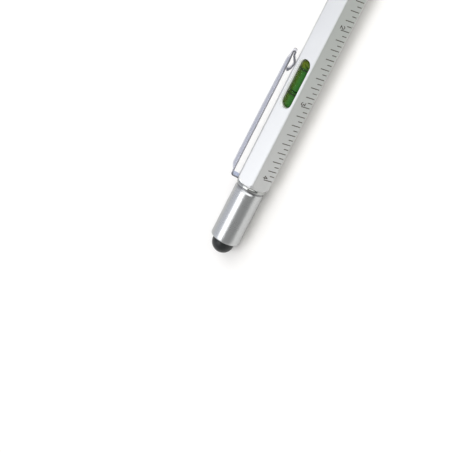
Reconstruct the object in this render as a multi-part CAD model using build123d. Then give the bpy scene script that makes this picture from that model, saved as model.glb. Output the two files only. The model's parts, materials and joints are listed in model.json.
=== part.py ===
from build123d import *
import os
from math import atan2, cos, degrees, radians, sin, sqrt, tan

# Multifunction pen, in millimetres.
# It lies on the flat of its hexagonal barrel. +X runs along the pen to the writing end, +Z is up,
# and +Y is the side of the pocket clip. X is zero at the middle of the barrel.
# The six flats of the barrel are named by the angle that turns the top flat onto them about X.

# General
overrun = 1.0                    # how far every cutter passes the face that it opens
fit_gap = 0.05                   # radial or end clearance of a close fit
seat_gap = 0.1                   # clearance round small seated pieces

# Barrel
across_flats = 10.0
barrel_length = 110.0
barrel_edge_radius = 0.6
barrel_wall = 1.1                # under the middle of a flat
barrel_end_step_depth = 0.08     # from a flat in to the round face at each end
barrel_end_length = 1.7          # over which each end is turned down from the corners
flat_count = 6

# Printed scales
inch = 25.4
parts_per_inch = 16
centimetre = 10.0
parts_per_centimetre = 10
scale_end_margin = 2.0           # least bare length at each end of the barrel
ink_thickness = 0.04
line_width = 0.27
line_edge_gap = 0.36             # from the barrel's edge to the start of the lines
long_line = 2.9
short_line = 1.48
centimetre_line = 2.6
half_centimetre_line = 1.9
millimetre_line = 1.2
digit_height = 1.35
digit_width = 0.85
digit_spacing = 0.4              # between the digits of one number
digit_stroke = 0.25
digit_shift = 0.85               # from a line to the middle of its number
digit_rise = 0.13                # middle of a number above the middle of the flat

# Strokes of each digit, in shares of its width and height
digit_shares = {
    "0": [(0.3, 0), (0.7, 0), (1, 0.25), (1, 0.75), (0.7, 1), (0.3, 1), (0, 0.75), (0, 0.25), (0.3, 0)],
    "1": [(0.2, 0.75), (0.6, 1), (0.6, 0)],
    "2": [(0, 0.75), (0.3, 1), (0.7, 1), (1, 0.75), (1, 0.6), (0, 0), (1, 0)],
    "3": [(0, 1), (1, 1), (0.45, 0.6), (0.75, 0.55), (1, 0.35), (1, 0.2), (0.7, 0), (0.3, 0), (0, 0.2)],
    "4": [(0.75, 0), (0.75, 1), (0, 0.3), (1, 0.3)],
    "5": [(1, 1), (0.1, 1), (0, 0.55), (0.7, 0.6), (1, 0.4), (1, 0.2), (0.7, 0), (0.3, 0), (0, 0.15)],
    "6": [(0.8, 1), (0.2, 0.65), (0, 0.3), (0.3, 0), (0.7, 0), (1, 0.2), (1, 0.4), (0.7, 0.6), (0.1, 0.5)],
    "7": [(0, 1), (1, 1), (0.4, 0)],
    "8": [(0.5, 0.55), (0.1, 0.75), (0.3, 1), (0.7, 1), (0.9, 0.75), (0.5, 0.55), (1, 0.25), (0.7, 0),
          (0.3, 0), (0, 0.25), (0.5, 0.55)],
    "9": [(0.2, 0), (0.8, 0.35), (1, 0.7), (0.7, 1), (0.3, 1), (0, 0.8), (0, 0.6), (0.3, 0.4), (0.9, 0.5)],
}

# Spirit level
window_length = 16.1
window_width = 4.1
window_from_end = 34.75          # from the barrel's cap end to the middle of the window
vial_crown_depth = 0.05          # how far the vial's crown lies under the flat
vial_wall = 0.4
level_line_width = 0.4
level_line_depth = 0.1
level_line_spacing = 8.0
level_line_shift = 0.85
bubble_radius = 1.0
bubble_length = 3.4
level_seat_end = 1.4             # seat beyond each end of the window

# Pocket clip
clip_thickness = 0.5
clip_width = 3.6
clip_height = 2.4                # outer face of the strip over the flat, at the bend
clip_fall = 0.17                 # how much nearer the flat the strip is where it turns up
clip_flare_length = 3.35         # from where it turns up to the tip
clip_flare_radius = 10.0
clip_crown = 0.92                # height of the pressed crown over the strip
clip_flare_crown = 0.5           # the same where the strip turns up
clip_faded_crown = 0.02          # the same at the crown's ends
clip_crown_start = 1.2           # from the foot's outside to the start of the crown
clip_crown_run = 2.2             # length over which the crown rises
clip_crown_level = 19.0          # length over which it keeps its height
clip_crown_end = 0.75            # from the end of the crown to the tip
clip_crown_margin = 0.05         # from the strip's side to the foot of the crown
clip_groove_width = 2.9
clip_groove_height = 0.75        # over the strip's underside
clip_length = 43.0
clip_bend_radius = 0.7
clip_hook_radius = 0.34
clip_hook_height = 0.65          # at the tip, from the tongue's middle layer to the strip's
clip_tongue_gap = 0.12           # from the tongue to the barrel
clip_tongue_contact = 3.85       # from the tip back to the lowest point of the tongue
clip_tongue_length = 2.05        # from the lowest point of the tongue to its free end
clip_tongue_radius = 2.25
clip_tongue_slant = 23.0         # slope from the tip down to the bow, in degrees
clip_tongue_slope = 45.0         # slope from the bow up to the free end, in degrees
clip_notch_depth = 0.65
clip_tab_width = 5.2
clip_recess_depth = 0.45         # round the bore

# Threaded insert, collar and seal at the cap end
neck_length = 6.3
thread_pitch = 0.8
thread_depth = 0.25
insert_end_wall = 1.2            # behind the magnet
collar_length = 1.3
collar_step_depth = 0.15         # from the barrel's flats in to the ring's outside
collar_edge_radius = 0.42
seal_thickness = 0.35
seal_step_depth = 0.5

# Driver bit and magnet
bit_flats = 4.0
bit_length = 28.0
bit_end_gap = 0.45               # from the bit's point to the plug in the cap
bit_end_radius = 1.5
bit_end_length = 5.0
bit_tip_length = 1.6
blade_thickness = 0.8
blade_run = 3.0
cross_slot_width = 0.5
cross_tip_radius = 0.45
magnet_length = 3.0
magnet_radius = 1.9

# Stylus cap
cap_step_depth = 0.3             # from the barrel's flats in to the cap's outside
cap_length = 18.0
cap_wall = 0.6
cap_mouth_chamfer = 0.6
cap_mouth_step = 0.12
cap_rim_radius = 0.4
cap_end_wall = 0.8
bush_length = 5.0
bush_wall = 0.6
stylus_step_depth = 1.2          # from the cap's outside in to the rubber dome
stylus_reach = 4.7               # how far the rubber dome stands out of the cap
stylus_wall = 0.8
stylus_flange = 0.8
core_length = 1.95
core_boss_length = 1.85

# Writing end
nose_ring_length = 1.3
nose_gap = 0.3
nose_length = 14.85
nose_step_depth = 0.3            # from the barrel's flats in to the nose's outside
nose_band_length = 4.2
nose_tip_radius = 1.95
nose_chamfer = 0.4
nose_groove_width = 0.4
nose_groove_depth = 0.2
nose_groove_count = 3
nose_groove_pitch = 1.0
nose_bore_radius = 1.35
spigot_seat_length = 6.2
nose_bush_length = 9.25
nose_bush_wall = 0.875
snap_ring_length = 0.8
snap_ring_depth = 0.8            # from its groove's floor to its outside
snap_ring_opening = 1.6

# Twist mechanism and refill
twist_angle = 180.0
refill_travel = 3.6
mechanism_gap = 7.05             # from the level's seat to the guide tube
drive_tube_wall = 0.55
carrier_length = 9.8
carrier_end_gap = 0.5            # from the end of the drive tube to the carrier
carrier_socket_depth = 4.4
guide_tube_length = 17.8
guide_wall = 0.55
guide_end_wall = 1.2
pin_radius = 0.55
pin_from_end = 2.5               # from the end of the carrier to the follower pin
slot_gap = 0.12
point_recess = 0.85              # from the nose's end in to the writing point
refill_radius = 1.175
refill_wall = 0.22
refill_tip_length = 10.1
refill_collar_length = 3.2
refill_point_radius = 0.5
refill_point_length = 1.9
ball_radius = 0.35
ball_socket_share = 0.4          # share of the ball's diameter that stands out of the point
ink_fill_share = 0.77            # share of the tube's length that holds ink

# Angles of the flats that carry something
ruler_flat = 60
metric_flat = 120
clip_flat = -60


def turned(points):
    """A solid of revolution about the pen's axis from (x, radius) points."""
    return revolve(make_face(Polyline(*points, close=True)), Axis.X)


def turned_round(points, corner_radii):
    """The same with a fillet radius for each corner of the outline."""
    return revolve(make_face(FilletPolyline(*points, radius=corner_radii, close=True)), Axis.X)


def tube(start, end, outer, inner):
    """A plain ring or tube about the pen's axis."""
    return turned([(start, inner), (end, inner), (end, outer), (start, outer)])


def rod(start, end, radius):
    """A plain rod about the pen's axis."""
    return turned([(start, 0), (end, 0), (end, radius), (start, radius)])


def hexagon(start, end, flats, edge_radius=0):
    """A hexagonal prism along the pen, with two of its flats level."""
    outline = RegularPolygon(flats / 2, flat_count, major_radius=False)
    if edge_radius > 0:
        outline = fillet(outline.vertices(), edge_radius)
    return extrude(Plane.YZ.offset(start) * outline, amount=end - start)


def block(start, end, left, right, low, high):
    """A box between two stations, two sides and two heights over the axis."""
    middle = ((start + end) / 2, (left + right) / 2, (low + high) / 2)
    return Pos(*middle) * Box(end - start, right - left, high - low)


def on_flat(angle):
    """The place of a flat: local Z is its outward normal, measured from the pen's axis."""
    return Rot(angle, 0, 0)


def capsule(middle, height, radius, length):
    """A rod with round ends along the pen, over its axis."""
    half_body = length / 2 - radius
    body = extrude(Plane.YZ.offset(-half_body) * Circle(radius), amount=length - radius * 2)
    ends = [Pos(side * half_body, 0, 0) * Sphere(radius) for side in (-1, 1)]
    return Pos(middle, 0, height) * (body + ends)


# Radii and heights that several pieces share
flat_distance = across_flats / 2
flat_side = across_flats * tan(radians(30))
barrel_bore_radius = flat_distance - barrel_wall
barrel_end_radius = flat_distance - barrel_end_step_depth
collar_radius = flat_distance - collar_step_depth
seal_radius = flat_distance - seal_step_depth
cap_radius = flat_distance - cap_step_depth
cap_bore_radius = cap_radius - cap_wall
neck_radius = cap_bore_radius - bush_wall - seat_gap
stylus_radius = cap_radius - stylus_step_depth
nose_radius = flat_distance - nose_step_depth
spigot_radius = barrel_bore_radius - fit_gap / 2 - nose_bush_wall - fit_gap
guide_bore = barrel_bore_radius - fit_gap - guide_wall
drive_tube_radius = guide_bore - seat_gap
drive_tube_bore = drive_tube_radius - drive_tube_wall
spigot_seat_radius = drive_tube_bore - fit_gap
snap_ring_radius = spigot_seat_radius + snap_ring_depth
clip_top = flat_distance + clip_height
vial_radius = window_width / 2 - fit_gap
vial_length = window_length - fit_gap * 2
vial_height = flat_distance - vial_crown_depth - vial_radius

# Stations along the pen that several pieces share
cap_end = -barrel_length / 2
tip_end = barrel_length / 2
window_middle = cap_end + window_from_end
level_seat_reach = window_length / 2 + level_seat_end
notch_floor = cap_end + clip_notch_depth
collar_start = cap_end - fit_gap
collar_end = collar_start - collar_length
seal_start = collar_end - fit_gap
seal_end = seal_start - seal_thickness
cap_mouth = seal_end - fit_gap
cap_tip = cap_mouth - cap_length
cap_floor = cap_tip + cap_end_wall
neck_end = cap_end - neck_length
bit_outer_end = cap_floor + stylus_flange + core_length + bit_end_gap
bit_inner_end = bit_outer_end + bit_length
magnet_start = bit_inner_end + fit_gap
nose_ring_start = tip_end + fit_gap
nose_start = nose_ring_start + nose_ring_length + nose_gap
nose_end = nose_start + nose_length
snap_ring_start = tip_end - nose_bush_length - nose_gap - snap_ring_length
spigot_step = snap_ring_start + snap_ring_length
guide_start = window_middle + level_seat_reach + mechanism_gap
guide_end = guide_start + guide_tube_length
drive_tube_start = guide_start + guide_end_wall + nose_gap
drive_tube_end = snap_ring_start - seat_gap
carrier_start = drive_tube_start + carrier_end_gap
carrier_end = carrier_start + carrier_length
pin_station = carrier_start + pin_from_end
refill_start = carrier_end - carrier_socket_depth
refill_end = nose_end - point_recess
refill_tip_start = refill_end - refill_tip_length
ink_length = (refill_tip_start - refill_start) * ink_fill_share


def make_barrel():
    """Hexagonal tube with turned-down ends, the level's window, and the clip's notch and recess."""
    body = hexagon(cap_end, tip_end, across_flats, barrel_edge_radius)
    # Each end is turned to a ball that passes through its round face and the six corners.
    rise = flat_side ** 2 - barrel_end_radius ** 2
    ball_depth = (barrel_end_length + rise / barrel_end_length) / 2
    turned_radius = sqrt(barrel_end_radius ** 2 + ball_depth ** 2)
    body = body & capsule(0, 0, turned_radius, barrel_length + (turned_radius - ball_depth) * 2)
    body -= rod(cap_end - overrun, tip_end + overrun, barrel_bore_radius)
    window = SlotOverall(window_length, window_width)
    body -= Pos(window_middle, 0, 0) * extrude(window, amount=flat_distance + overrun)
    body -= rod(cap_end - overrun, notch_floor, barrel_bore_radius + clip_recess_depth)
    side = clip_width / 2 + seat_gap
    notch = block(cap_end - overrun, notch_floor, -side, side, 0, across_flats)
    return body - on_flat(clip_flat) * notch


def scale_line(station, length):
    """One printed line, square to the ruler edge of the flat."""
    start = line_edge_gap - flat_side / 2
    bar = Box(line_width, length, ink_thickness)
    return Pos(station, start + length / 2, flat_distance + ink_thickness / 2) * bar


def digit_outline(character, left):
    """One digit as round-ended bars along its strokes."""
    corners = [Vector(left + x * digit_width, (y - 0.5) * digit_height) for x, y in digit_shares[character]]
    bars = []
    for start, end in zip(corners, corners[1:]):
        run = end - start
        bar = SlotCenterToCenter(run.length, digit_stroke, rotation=degrees(atan2(run.Y, run.X)))
        middle = (start + end) / 2
        bars.append(Pos(middle.X, middle.Y) * bar)
    return bars[0] + bars[1:]


def scale_number(station, value):
    """One printed number beside its line, upright when the ruler edge is on top."""
    characters = str(value)
    step = digit_width + digit_spacing
    first = -(len(characters) * step - digit_spacing) / 2
    place = Plane((station + digit_shift, digit_rise, flat_distance), x_dir=(-1, 0, 0), z_dir=(0, 0, 1))
    digits = [digit_outline(character, first + i * step) for i, character in enumerate(characters)]
    return [extrude(place * digit, amount=ink_thickness) for digit in digits]


def make_inch_scale():
    """Lines at each sixteenth of an inch, long and short by turns, with whole inches numbered."""
    inch_count = int((barrel_length - scale_end_margin * 2) / inch)
    count = inch_count * parts_per_inch
    first = -inch * inch_count / 2
    pieces = []
    for i in range(count + 1):
        length = short_line if i % 2 else long_line
        pieces.append(scale_line(first + inch * i / parts_per_inch, length))
    for i in range(inch_count + 1):
        pieces += scale_number(first + inch * i, inch_count - i)
    return [on_flat(ruler_flat) * piece for piece in pieces]


def make_metric_scale():
    """Lines at each millimetre, longer at each half and whole centimetre, which is numbered."""
    centimetre_count = int((barrel_length - scale_end_margin * 2) / centimetre)
    count = centimetre_count * parts_per_centimetre
    first = -centimetre * centimetre_count / 2
    pieces = []
    for i in range(count + 1):
        if i % parts_per_centimetre == 0:
            length = centimetre_line
        elif i % parts_per_centimetre == parts_per_centimetre // 2:
            length = half_centimetre_line
        else:
            length = millimetre_line
        pieces.append(scale_line(first + centimetre * i / parts_per_centimetre, length))
    for i in range(centimetre_count + 1):
        pieces += scale_number(first + centimetre * i, centimetre_count - i)
    return [on_flat(metric_flat) * piece for piece in pieces]


def level_line(side, outer):
    """The ring of one level line, from its groove's floor to the given radius."""
    station = window_middle + level_line_shift + side * level_line_spacing / 2
    half = level_line_width / 2
    ring = tube(station - half, station + half, outer, vial_radius - level_line_depth)
    return Pos(0, 0, vial_height) * ring


def make_level_vial():
    """Clear capsule with a round-ended cavity and a groove for each printed ring."""
    shell = capsule(window_middle, vial_height, vial_radius, vial_length)
    shell -= capsule(window_middle, vial_height, vial_radius - vial_wall, vial_length - vial_wall * 2)
    for side in (-1, 1):
        shell -= level_line(side, vial_radius + overrun)
    return shell


def make_level_liquid():
    """The liquid that fills the vial, less the bubble at its upper end."""
    fill = capsule(window_middle, vial_height, vial_radius - vial_wall, vial_length - vial_wall * 2)
    bubble_height = vial_height + vial_radius - vial_wall - bubble_radius - seat_gap / 2
    bubble_middle = window_middle + vial_length / 2 - vial_radius - bubble_length / 2 + seat_gap
    return fill - capsule(bubble_middle, bubble_height, bubble_radius, bubble_length)


def make_level_seat():
    """Plastic plug in the bore with a bed for the vial."""
    start = window_middle - level_seat_reach
    end = window_middle + level_seat_reach
    plug = rod(start, end, barrel_bore_radius - fit_gap)
    bed_length = vial_length + fit_gap * 2
    plug -= capsule(window_middle, vial_height, vial_radius + fit_gap, bed_length)
    opening = extrude(SlotOverall(window_length, window_width), amount=flat_distance)
    return plug - Pos(window_middle, 0, vial_height) * opening


def strip_face(points, corner_radii, thickness):
    """A strip of even thickness along a line: corner radii are those of its middle line."""
    points = [Vector(*point) for point in points]
    runs = [(end - start).normalized() for start, end in zip(points, points[1:])]
    radii = [0] + corner_radii + [0]
    left, right = [], []
    for point, before, after, radius in zip(points, runs[:1] + runs, runs + runs[-1:], radii):
        turn = before.X * after.Y - before.Y * after.X
        mitre = (before + after) / (1 + before.dot(after))
        offset = Vector(-mitre.Y, mitre.X) * thickness / 2
        swing = thickness / 2 * (turn > 0) - thickness / 2 * (turn < 0)
        left.append((point + offset, max(radius - swing, 0)))
        right.append((point - offset, max(radius + swing, 0) if radius else 0))
    outline = left + right[::-1]
    return make_face(FilletPolyline(*[p for p, _ in outline], radius=[r for _, r in outline], close=True))


def crown_section(width, chord, top):
    """Circle segment across the pen, from the height of its level chord to its top."""
    left = (-width / 2, chord)
    right = (width / 2, chord)
    return make_face([ThreePointArc(left, (0, top), right), Line(right, left)])


def height_on(start, end, station):
    """Height at a station of the straight line through two (x, height) points."""
    return start[1] + (end[1] - start[1]) * (station - start[0]) / (end[0] - start[0])


def make_clip():
    """Spring strip: tab and foot, crowned strip, folded tip and bowed tongue."""
    half = clip_thickness / 2
    foot = notch_floor - seat_gap - half
    tip = foot - half + clip_length
    low = tip - clip_tongue_contact
    slant = radians(clip_tongue_slant)
    slope = radians(clip_tongue_slope)

    # The bow is a fillet between the tongue's straight runs, whose lines cross beneath it.
    reach = clip_tongue_radius * tan((slant + slope) / 2)
    crossing = low + clip_tongue_radius * sin(slant) - reach * cos(slant)
    lift = clip_tongue_radius * (1 - cos(slant)) - reach * sin(slant)
    contact = flat_distance + clip_tongue_gap + half + lift
    fold = contact + (tip - half - crossing) * tan(slant)
    free_end = low - clip_tongue_length
    bend = (foot, clip_top - half)
    flare = (tip - clip_flare_length, clip_top - half - clip_fall)
    hook = (tip - half, fold + clip_hook_height)
    line = [
        (foot, neck_radius + clip_thickness),
        bend,
        flare,
        hook,
        (tip - half, fold),
        (crossing, contact),
        (free_end, contact + (crossing - free_end) * tan(slope)),
    ]
    corner_radii = [clip_bend_radius, clip_flare_radius, clip_hook_radius, clip_hook_radius, clip_tongue_radius]
    profile = Plane.XZ * strip_face(line, corner_radii, clip_thickness)
    strip = extrude(profile, amount=clip_width / 2, both=True)
    tab_radius = barrel_bore_radius + clip_recess_depth - seat_gap
    tab = tube(foot - half, foot + half, tab_radius, neck_radius + seat_gap)
    side = clip_tab_width / 2
    tab = tab & block(foot - overrun, foot + overrun, -side, side, 0, clip_top)

    # The crown stands on the strip's middle layer, rises after the bend and fades out before the tip.
    crown_start = foot - half + clip_crown_start
    crown_full = crown_start + clip_crown_run
    crown_end = tip - clip_crown_end
    sections = []
    for station, height in (
        (crown_start, clip_faded_crown),
        (crown_full, clip_crown),
        (crown_full + clip_crown_level, clip_crown),
        (flare[0], clip_flare_crown),
        (crown_end, clip_faded_crown),
    ):
        middle = height_on(bend, flare, station) if station <= flare[0] else height_on(flare, hook, station)
        section = crown_section(clip_width - clip_crown_margin * 2, middle, middle + half + height)
        sections.append(Plane.YZ.offset(station) * section)
    crown = loft(sections, ruled=True)

    # The underside is pressed hollow beneath the crown.
    under = clip_top - clip_thickness
    press = crown_section(clip_groove_width, under - fit_gap, under + clip_groove_height)
    run = Vector(flare[0] - foot, 0, -clip_fall)
    hollow = extrude(Plane.YZ.offset(foot) * press, amount=flare[0] - crown_full, dir=run)
    hollow = Pos(run.normalized() * (crown_full - foot)) * hollow
    return on_flat(clip_flat) * (strip + crown + tab - hollow)


def make_collar_ring():
    """Bright ring between the barrel and the cap."""
    inner = neck_radius + fit_gap
    points = [
        (collar_start, inner),
        (collar_end, inner),
        (collar_end, collar_radius),
        (collar_start, collar_radius),
    ]
    return turned_round(points, [0, 0, collar_edge_radius, collar_edge_radius])


def make_threaded_insert():
    """Brass insert: plug in the barrel, threaded neck, hexagonal bit socket and magnet pocket."""
    pocket_end = magnet_start + magnet_length + fit_gap
    body = rod(notch_floor, pocket_end + insert_end_wall, barrel_bore_radius - fit_gap / 2)
    body += rod(neck_end, notch_floor, neck_radius)
    body -= hexagon(neck_end - overrun, magnet_start, bit_flats + seat_gap)
    body -= rod(bit_inner_end, pocket_end, magnet_radius + fit_gap)
    half_pitch = thread_pitch / 2
    for i in range(int(bush_length / thread_pitch)):
        middle = neck_end + half_pitch + thread_pitch * i
        body -= turned([
            (middle - half_pitch, neck_radius + thread_depth),
            (middle + half_pitch, neck_radius + thread_depth),
            (middle, neck_radius - thread_depth),
        ])
    return body


def make_bit_magnet():
    """Disc magnet that holds the bit."""
    return rod(magnet_start, magnet_start + magnet_length, magnet_radius)


def make_driver_bit():
    """Double-ended bit: cross point outwards, flat blade inwards."""
    body = hexagon(bit_outer_end, bit_inner_end, bit_flats)
    shoulder = bit_flats / 2
    corner = bit_flats
    limit = [
        (bit_outer_end, 0),
        (bit_outer_end, cross_tip_radius),
        (bit_outer_end + bit_tip_length, bit_end_radius),
        (bit_outer_end + bit_end_length, bit_end_radius),
        (bit_outer_end + bit_end_length + shoulder, corner),
        (bit_inner_end - bit_end_length - shoulder, corner),
        (bit_inner_end - bit_end_length, bit_end_radius),
        (bit_inner_end, bit_end_radius),
        (bit_inner_end, 0),
    ]
    body = body & turned(limit)
    for quarter in range(4):
        wedge = Polyline(
            (bit_outer_end - overrun, cross_slot_width / 2),
            (bit_outer_end - overrun, corner),
            (bit_outer_end + bit_tip_length * 2, corner),
            (bit_outer_end + bit_tip_length * 2, bit_end_radius),
            (bit_outer_end, cross_slot_width / 2),
            close=True,
        )
        flute = extrude(make_face(wedge), amount=corner)
        flute = Pos(0, 0, cross_slot_width / 2) * flute
        body -= Rot(90 * quarter, 0, 0) * flute
    for side in (-1, 1):
        cheek = make_face(Polyline(
            (bit_inner_end + overrun, side * blade_thickness / 2),
            (bit_inner_end + overrun, side * corner),
            (bit_inner_end - blade_run, side * corner),
            (bit_inner_end - blade_run, side * bit_end_radius),
            (bit_inner_end, side * blade_thickness / 2),
            close=True,
        ))
        body -= extrude(cheek, amount=corner, both=True)
    return body


def make_cap_seal():
    """Flat rubber washer between the collar and the cap."""
    return tube(seal_end, seal_start, seal_radius, neck_radius + fit_gap)


def make_stylus_cap():
    """Turned cap with a lightly stepped mouth, a thin wall and a hole for the rubber dome."""
    points = [
        (cap_mouth, cap_bore_radius),
        (cap_mouth, cap_radius - cap_mouth_step * 2),
        (cap_mouth - cap_mouth_chamfer, cap_radius),
        (cap_tip, cap_radius),
        (cap_tip, stylus_radius + fit_gap),
        (cap_floor, stylus_radius + fit_gap),
        (cap_floor, cap_bore_radius),
    ]
    return turned_round(points, [0, cap_mouth_step, cap_mouth_step, cap_rim_radius, 0, 0, 0])


def make_cap_thread_bush():
    """Brass bush with the cap's thread, pressed into the mouth of the cap."""
    start = cap_mouth - seat_gap
    return tube(start - bush_length, start, cap_bore_radius, neck_radius + seat_gap)


def make_stylus_tip():
    """Hollow rubber dome with the flange that keeps it in the cap."""
    flange_end = cap_floor + stylus_flange
    dome = cap_tip - stylus_reach + stylus_radius
    inner = stylus_radius - stylus_wall
    diagonal = sqrt(0.5)
    outline = [
        Polyline((flange_end, inner), (flange_end, cap_bore_radius), (cap_floor, cap_bore_radius),
                 (cap_floor, stylus_radius), (dome, stylus_radius)),
        ThreePointArc((dome, stylus_radius), (dome - stylus_radius * diagonal, stylus_radius * diagonal),
                      (dome - stylus_radius, 0)),
        Line((dome - stylus_radius, 0), (dome - inner, 0)),
        ThreePointArc((dome - inner, 0), (dome - inner * diagonal, inner * diagonal), (dome, inner)),
        Line((dome, inner), (flange_end, inner)),
    ]
    return revolve(make_face(outline), Axis.X)


def make_stylus_core():
    """Plug behind the rubber dome, with a boss that carries it."""
    start = cap_floor + stylus_flange
    body = rod(start, start + core_length, cap_bore_radius)
    return body + rod(start - core_boss_length, start, stylus_radius - stylus_wall - fit_gap)


def make_nose_ring():
    """Bright ring between the barrel and the nose cone."""
    inner = spigot_radius + seat_gap
    end = nose_ring_start + nose_ring_length
    points = [
        (nose_ring_start, inner),
        (end, inner),
        (end, collar_radius),
        (nose_ring_start, collar_radius),
    ]
    return turned_round(points, [0, 0, collar_edge_radius, collar_edge_radius])


def make_nose_bush():
    """Brass bush in the barrel's mouth, in which the nose turns."""
    outer = barrel_bore_radius - fit_gap / 2
    return tube(tip_end - nose_bush_length, tip_end, outer, spigot_radius + fit_gap)


def make_nose_cone():
    """Twist grip with a tapered nose and the spigot that reaches back into the barrel."""
    spigot_start = drive_tube_end - spigot_seat_length
    band_end = nose_start + nose_band_length
    taper = make_face([
        Line((nose_start, 0), (nose_start, nose_radius - nose_chamfer)),
        Line((nose_start, nose_radius - nose_chamfer), (nose_start + nose_chamfer, nose_radius)),
        Line((nose_start + nose_chamfer, nose_radius), (band_end, nose_radius)),
        TangentArc((band_end, nose_radius), (nose_end, nose_tip_radius), tangent=(1, 0)),
        Line((nose_end, nose_tip_radius), (nose_end, 0)),
        Line((nose_end, 0), (nose_start, 0)),
    ])
    body = revolve(taper, Axis.X)
    body += rod(spigot_step, nose_start, spigot_radius)
    body += rod(spigot_start, spigot_step, spigot_seat_radius)
    body -= rod(spigot_start - overrun, nose_end + overrun, nose_bore_radius)
    for i in range(nose_groove_count):
        start = nose_start + nose_groove_pitch * (i + 1)
        end = start + nose_groove_width
        body -= tube(start, end, nose_radius + overrun, nose_radius - nose_groove_depth)
    return body


def make_snap_ring():
    """Open ring on the spigot, behind the bush, that keeps the nose in the barrel."""
    ring = tube(snap_ring_start, spigot_step, snap_ring_radius, spigot_seat_radius)
    half = snap_ring_opening / 2
    return ring - block(snap_ring_start - overrun, spigot_step + overrun, -half, half, 0, across_flats)


def radial_hole(station, radius, angle):
    """A round cutter from the pen's axis outwards at an angle from the top."""
    return Rot(angle, 0, 0) * Pos(station, 0, 0) * extrude(Circle(radius), amount=across_flats)


def make_drive_tube():
    """Tube on the nose's spigot whose helical slot drives the follower pin."""
    body = tube(drive_tube_start, drive_tube_end, drive_tube_radius, drive_tube_bore)
    slot = pin_radius + slot_gap
    turn = twist_angle / 360
    middle = (drive_tube_radius + drive_tube_bore) / 2
    path = Helix(refill_travel / turn, refill_travel, middle, lefthand=True)
    section = Plane(path @ 0, x_dir=(1, 0, 0), z_dir=path % 0) * Rectangle(drive_tube_radius, slot * 2)
    ribbon = sweep(section, path=path, is_frenet=True)
    ribbon = Rot(180, 0, 0) * Rot(0, 90, 0) * ribbon
    body -= Pos(pin_station, 0, 0) * ribbon
    body -= radial_hole(pin_station, slot, 0)
    return body - radial_hole(pin_station + refill_travel, slot, -twist_angle)


def make_guide_tube():
    """Fixed tube whose straight slot keeps the follower pin from turning."""
    body = tube(guide_start, guide_end, barrel_bore_radius - fit_gap, guide_bore)
    body += rod(guide_start, guide_start + guide_end_wall, barrel_bore_radius - fit_gap)
    slot = pin_radius + slot_gap
    cut = block(pin_station, pin_station + refill_travel, -slot, slot, 0, across_flats)
    body -= cut
    body -= radial_hole(pin_station, slot, 0)
    return body - radial_hole(pin_station + refill_travel, slot, 0)


def make_refill_carrier():
    """Slider in the drive tube that carries the pin and grips the end of the refill."""
    body = rod(carrier_start, carrier_end, drive_tube_bore - fit_gap)
    body -= rod(refill_start, carrier_end + overrun, refill_radius)
    return body - radial_hole(pin_station, pin_radius, 0)


def make_follower_pin():
    """Steel pin through both slots."""
    pin = radial_hole(pin_station, pin_radius, 0)
    return pin & rod(pin_station - overrun, pin_station + overrun, barrel_bore_radius - seat_gap)


def make_refill_tube():
    """Metal ink tube."""
    return tube(refill_start, refill_tip_start, refill_radius, refill_radius - refill_wall)


def make_refill_ink():
    """Column of ink in the tube."""
    return rod(refill_tip_start - ink_length, refill_tip_start, refill_radius - refill_wall)


def make_refill_tip():
    """Tapered writing point with the seat of the ball."""
    point = refill_end - ball_radius * 2 * ball_socket_share
    ball_middle = refill_end - ball_radius
    body = turned([
        (refill_tip_start, 0),
        (refill_tip_start, refill_radius),
        (refill_tip_start + refill_collar_length, refill_radius),
        (point - refill_point_length, refill_point_radius),
        (point - ball_radius, refill_point_radius),
        (point, ball_radius),
        (point, 0),
    ])
    return body - Pos(ball_middle, 0, 0) * Sphere(ball_radius)


def make_writing_ball():
    """Ball of the writing point."""
    return Pos(refill_end - ball_radius, 0, 0) * Sphere(ball_radius)


nodes = {
    "barrel": make_barrel,
    "inch_scale": make_inch_scale,
    "metric_scale": make_metric_scale,
    "level_vial": make_level_vial,
    "level_liquid": make_level_liquid,
    "level_lines": lambda: [level_line(side, vial_radius) for side in (-1, 1)],
    "level_seat": make_level_seat,
    "clip": make_clip,
    "collar_ring": make_collar_ring,
    "threaded_insert": make_threaded_insert,
    "bit_magnet": make_bit_magnet,
    "driver_bit": make_driver_bit,
    "cap_seal": make_cap_seal,
    "stylus_cap": make_stylus_cap,
    "cap_thread_bush": make_cap_thread_bush,
    "stylus_core": make_stylus_core,
    "stylus_tip": make_stylus_tip,
    "nose_ring": make_nose_ring,
    "nose_bush": make_nose_bush,
    "nose_cone": make_nose_cone,
    "snap_ring": make_snap_ring,
    "drive_tube": make_drive_tube,
    "guide_tube": make_guide_tube,
    "refill_carrier": make_refill_carrier,
    "follower_pin": make_follower_pin,
    "refill_tube": make_refill_tube,
    "refill_ink": make_refill_ink,
    "refill_tip": make_refill_tip,
    "writing_ball": make_writing_ball,
}

os.makedirs("parts", exist_ok=True)
lift = Pos(0, 0, flat_distance)
for name, make in nodes.items():
    made = make()
    pieces = made if isinstance(made, list) else [made]
    solids = [solid for piece in pieces for solid in (lift * piece).solids()]
    model = solids[0] if len(solids) == 1 else Compound(children=solids)
    export_step(model, f"parts/{name}.step")
    print(name, len(solids), round(sum(solid.volume for solid in solids), 3))
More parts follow.
